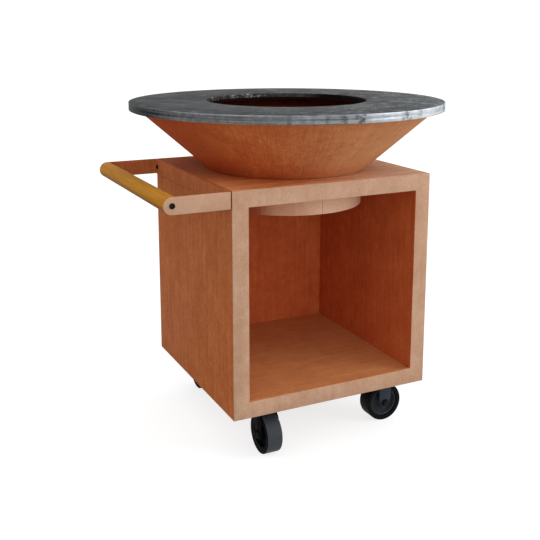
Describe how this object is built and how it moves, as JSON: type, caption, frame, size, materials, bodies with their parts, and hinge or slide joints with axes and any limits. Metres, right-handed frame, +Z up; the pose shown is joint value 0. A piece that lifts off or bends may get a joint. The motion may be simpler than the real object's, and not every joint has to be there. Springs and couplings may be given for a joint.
{
  "type": "grill table",
  "caption": "Round steel cooking plate with a central fire hole on a cone fire bowl, over a wheeled rusted-steel cabinet with an open firewood bay and a side push rod.",
  "frame": {"origin": "on the ground, under the middle of the whole table's bounding box", "axes": "+Z up, -Y out of the open firewood bay, -X towards the push rod"},
  "size_m": [1.031, 1, 1.0466],
  "materials": {
    "cooking_steel": "bare hot-rolled steel, seasoned dark, fine scratches",
    "rusted_bowl": "weathering steel, matt orange rust",
    "rusted_front": "weathering steel, matt pale pinkish rust",
    "rusted_side": "weathering steel, matt brown rust",
    "rusted_top": "weathering steel, matt rust with faint streaks",
    "rusted_bay": "weathering steel, matt dark red rust",
    "rusted_floor": "weathering steel, matt rust worn by logs",
    "rod_wood": "oiled golden hardwood, satin",
    "black_steel": "black coated steel, satin",
    "zinc_steel": "zinc plated",
    "wheel_plastic": "black moulded, satin",
    "tyre_rubber": "dark grey rubber, matt"
  },
  "bodies": {
    "cabinet": {"base_panel": "rusted_side", "bay_ceiling": "rusted_bay", "bay_floor": "rusted_floor", "bay_left_wall": "rusted_bay", "bay_rear_wall": "rusted_bay", "bay_right_wall": "rusted_bay", "bracket_bolt_front": "black_steel", "bracket_bolt_rear": "black_steel", "castor_plate_front_left": "black_steel", "castor_plate_front_right": "black_steel", "castor_plate_rear_left": "black_steel", "castor_plate_rear_right": "black_steel", "front_cross_rail": "rusted_side", "front_frame": "rusted_front", "handle_bracket": "rusted_front", "handle_rod": "rod_wood", "heat_shield_pan": "rusted_bay", "heat_shield_ring": "rusted_front", "kingpin_front_left": "zinc_steel", "kingpin_front_right": "zinc_steel", "kingpin_rear_left": "zinc_steel", "kingpin_rear_right": "zinc_steel", "left_side_panel": "rusted_side", "rear_cross_rail": "rusted_side", "rear_panel": "rusted_side", "right_side_panel": "rusted_side", "rod_screw_front": "black_steel", "rod_screw_rear": "black_steel", "top_panel": "rusted_top"},
    "swivel_front_left": {"axle_bolt_front_left": "black_steel", "fork_front_left": "black_steel", "swivel_race_front_left": "black_steel"},
    "swivel_front_right": {"axle_bolt_front_right": "black_steel", "fork_front_right": "black_steel", "swivel_race_front_right": "black_steel"},
    "swivel_rear_left": {"axle_bolt_rear_left": "black_steel", "fork_rear_left": "black_steel", "swivel_race_rear_left": "black_steel"},
    "swivel_rear_right": {"axle_bolt_rear_right": "black_steel", "fork_rear_right": "black_steel", "swivel_race_rear_right": "black_steel"},
    "fire_bowl": {"bowl_foot_ring": "rusted_bowl", "fire_bowl": "rusted_bowl"},
    "cooking_plate": {"cooking_plate": "cooking_steel", "plate_locator_1": "cooking_steel", "plate_locator_2": "cooking_steel", "plate_locator_3": "cooking_steel"},
    "wheel_front_left": {"tyre_front_left": "tyre_rubber", "wheel_core_front_left": "wheel_plastic"},
    "wheel_front_right": {"tyre_front_right": "tyre_rubber", "wheel_core_front_right": "wheel_plastic"},
    "wheel_rear_left": {"tyre_rear_left": "tyre_rubber", "wheel_core_rear_left": "wheel_plastic"},
    "wheel_rear_right": {"tyre_rear_right": "tyre_rubber", "wheel_core_rear_right": "wheel_plastic"}
  },
  "joints": [
    {"name": "bowl_lift", "type": "slide", "parent": "cabinet", "child": "fire_bowl", "axis": [0, 0, 1], "range_m": [0, 0.15]},
    {"name": "plate_lift", "type": "slide", "parent": "fire_bowl", "child": "cooking_plate", "axis": [0, 0, 1], "range_m": [0, 0.1]},
    {"name": "swivel_front_left", "type": "hinge", "parent": "cabinet", "child": "swivel_front_left", "pos_m": [-0.1825, -0.22, 0.14], "axis": [0, 0, 1], "continuous": true},
    {"name": "roll_front_left", "type": "hinge", "parent": "swivel_front_left", "child": "wheel_front_left", "pos_m": [-0.1825, -0.262, 0.06196], "axis": [1, 0, 0], "continuous": true},
    {"name": "swivel_front_right", "type": "hinge", "parent": "cabinet", "child": "swivel_front_right", "pos_m": [0.2135, -0.22, 0.14], "axis": [0, 0, 1], "continuous": true},
    {"name": "roll_front_right", "type": "hinge", "parent": "swivel_front_right", "child": "wheel_front_right", "pos_m": [0.2555, -0.22, 0.06196], "axis": [0, 1, 0], "continuous": true},
    {"name": "swivel_rear_left", "type": "hinge", "parent": "cabinet", "child": "swivel_rear_left", "pos_m": [-0.1825, 0.22, 0.14], "axis": [0, 0, 1], "continuous": true},
    {"name": "roll_rear_left", "type": "hinge", "parent": "swivel_rear_left", "child": "wheel_rear_left", "pos_m": [-0.1825, 0.262, 0.06196], "axis": [-1, 0, 0], "continuous": true},
    {"name": "swivel_rear_right", "type": "hinge", "parent": "cabinet", "child": "swivel_rear_right", "pos_m": [0.2135, 0.22, 0.14], "axis": [0, 0, 1], "continuous": true},
    {"name": "roll_rear_right", "type": "hinge", "parent": "swivel_rear_right", "child": "wheel_rear_right", "pos_m": [0.2555, 0.22, 0.06196], "axis": [0, 1, 0], "continuous": true}
  ]
}
